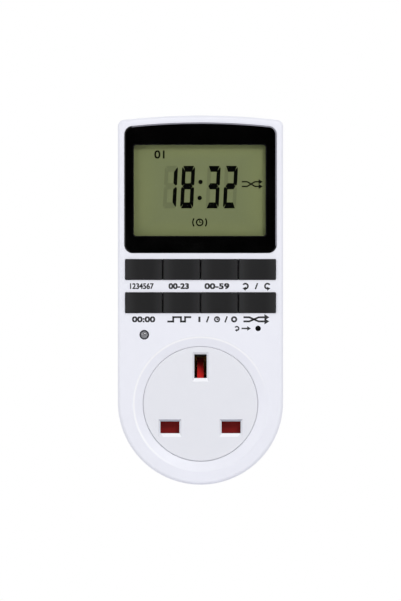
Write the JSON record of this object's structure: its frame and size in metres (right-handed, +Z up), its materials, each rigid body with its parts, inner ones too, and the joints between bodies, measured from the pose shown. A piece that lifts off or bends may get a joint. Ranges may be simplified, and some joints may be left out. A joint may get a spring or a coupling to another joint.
{
  "type": "digital plug-in timer",
  "caption": "Plug-in digital timer: flat crowned housing with a display, rows of keys, a shuttered socket on the front and plug pins on the back.",
  "frame": {"origin": "on the wall face of the rear shell, straight behind the middle of the round socket", "axes": "the front faces -Y, +Y points into the wall outlet, +X is to the right seen from the front, +Z is up"},
  "size_m": [0.06, 0.0616, 0.134],
  "materials": {
    "shell_plastic": "fine satin, moulded",
    "socket_plastic": "fine satin, moulded",
    "bezel_plastic": "polished black",
    "pane_plastic": "clear, polished",
    "lcd_glass": "polarised grey-green",
    "reflector_foil": "matt foil",
    "key_plastic": "fine matt, moulded",
    "silicone": "matt",
    "connector_rubber": "matt, striped",
    "shutter_plastic": "satin, moulded",
    "carrier_plastic": "heat-resistant, satin",
    "holder_plastic": "satin",
    "switch_plastic": "matt",
    "board_laminate": "green solder resist",
    "chip_resin": "cured resin",
    "case_plastic": "moulded case",
    "film_case": "resin-filled case",
    "ceramic_coat": "dipped coating",
    "can_sleeve": "shrunk sleeve",
    "lamp_resin": "clear cast resin",
    "sleeve_plastic": "satin",
    "pin_brass": "machined",
    "contact_brass": "pressed strip",
    "plated_steel": "zinc plated",
    "cell_steel": "nickel plated",
    "tinned_wire": "tinned"
  },
  "bodies": {
    "housing": {"front_shell": "shell_plastic", "rear_shell": "shell_plastic", "socket_face": "socket_plastic", "display_bezel": "bezel_plastic", "display_window": "pane_plastic", "lcd_panel": "lcd_glass", "lcd_reflector": "reflector_foil", "zebra_strips": "connector_rubber", "lcd_holder": "holder_plastic", "keypad_mat": "silicone", "reset_switch": "switch_plastic", "reset_snap_dome": "plated_steel", "indicator_led": "lamp_resin", "led_leads": "tinned_wire", "control_board": "board_laminate", "control_chip": "chip_resin", "clock_crystal": "cell_steel", "backup_battery": "cell_steel", "battery_tabs": "cell_steel", "power_board": "board_laminate", "relay": "case_plastic", "dropper_capacitor": "film_case", "smoothing_capacitor": "can_sleeve", "bridge_rectifier": "chip_resin", "power_resistors": "ceramic_coat", "surge_varistor": "ceramic_coat", "relay_transistor": "chip_resin", "board_link_header": "switch_plastic", "board_link_pins": "pin_brass", "shutter_spring": "plated_steel", "contact_carrier": "carrier_plastic", "contact_cover": "carrier_plastic", "line_contact": "contact_brass", "neutral_contact": "contact_brass", "earth_contact": "contact_brass", "line_pin": "pin_brass", "neutral_pin": "pin_brass", "earth_pin": "pin_brass", "line_pin_sleeve": "sleeve_plastic", "neutral_pin_sleeve": "sleeve_plastic", "neutral_strap": "contact_brass", "switched_line_strap": "contact_brass", "line_bus_bar": "contact_brass", "housing_screws": "plated_steel", "control_board_screws": "plated_steel"},
    "key_day": {"key_day": "key_plastic"},
    "key_hour": {"key_hour": "key_plastic"},
    "key_minute": {"key_minute": "key_plastic"},
    "key_recall": {"key_recall": "key_plastic"},
    "key_clock": {"key_clock": "key_plastic"},
    "key_timer": {"key_timer": "key_plastic"},
    "key_mode": {"key_mode": "key_plastic"},
    "key_random": {"key_random": "key_plastic"},
    "reset_plunger": {"reset_button": "switch_plastic"},
    "shutter": {"safety_shutter": "shutter_plastic"}
  },
  "joints": [
    {"name": "key_day_press", "type": "slide", "parent": "housing", "child": "key_day", "axis": [0, 1, 0], "range_m": [0, 0.0008], "stiffness_N_per_m": 1000, "springref_m": -0.0005, "deforming": ["keypad_mat"]},
    {"name": "key_hour_press", "type": "slide", "parent": "housing", "child": "key_hour", "axis": [0, 1, 0], "range_m": [0, 0.0008], "stiffness_N_per_m": 1000, "springref_m": -0.0005, "deforming": ["keypad_mat"]},
    {"name": "key_minute_press", "type": "slide", "parent": "housing", "child": "key_minute", "axis": [0, 1, 0], "range_m": [0, 0.0008], "stiffness_N_per_m": 1000, "springref_m": -0.0005, "deforming": ["keypad_mat"]},
    {"name": "key_recall_press", "type": "slide", "parent": "housing", "child": "key_recall", "axis": [0, 1, 0], "range_m": [0, 0.0008], "stiffness_N_per_m": 1000, "springref_m": -0.0005, "deforming": ["keypad_mat"]},
    {"name": "key_clock_press", "type": "slide", "parent": "housing", "child": "key_clock", "axis": [0, 1, 0], "range_m": [0, 0.0008], "stiffness_N_per_m": 1000, "springref_m": -0.0005, "deforming": ["keypad_mat"]},
    {"name": "key_timer_press", "type": "slide", "parent": "housing", "child": "key_timer", "axis": [0, 1, 0], "range_m": [0, 0.0008], "stiffness_N_per_m": 1000, "springref_m": -0.0005, "deforming": ["keypad_mat"]},
    {"name": "key_mode_press", "type": "slide", "parent": "housing", "child": "key_mode", "axis": [0, 1, 0], "range_m": [0, 0.0008], "stiffness_N_per_m": 1000, "springref_m": -0.0005, "deforming": ["keypad_mat"]},
    {"name": "key_random_press", "type": "slide", "parent": "housing", "child": "key_random", "axis": [0, 1, 0], "range_m": [0, 0.0008], "stiffness_N_per_m": 1000, "springref_m": -0.0005, "deforming": ["keypad_mat"]},
    {"name": "reset_press", "type": "slide", "parent": "housing", "child": "reset_plunger", "axis": [0, 1, 0], "range_m": [0, 0.00025], "stiffness_N_per_m": 2000, "springref_m": -0.0003, "deforming": ["reset_snap_dome"]},
    {"name": "shutter_slide", "type": "slide", "parent": "housing", "child": "shutter", "axis": [0, 0, -1], "range_m": [0, 0.0074], "stiffness_N_per_m": 150, "springref_m": -0.003, "deforming": ["shutter_spring"]}
  ]
}
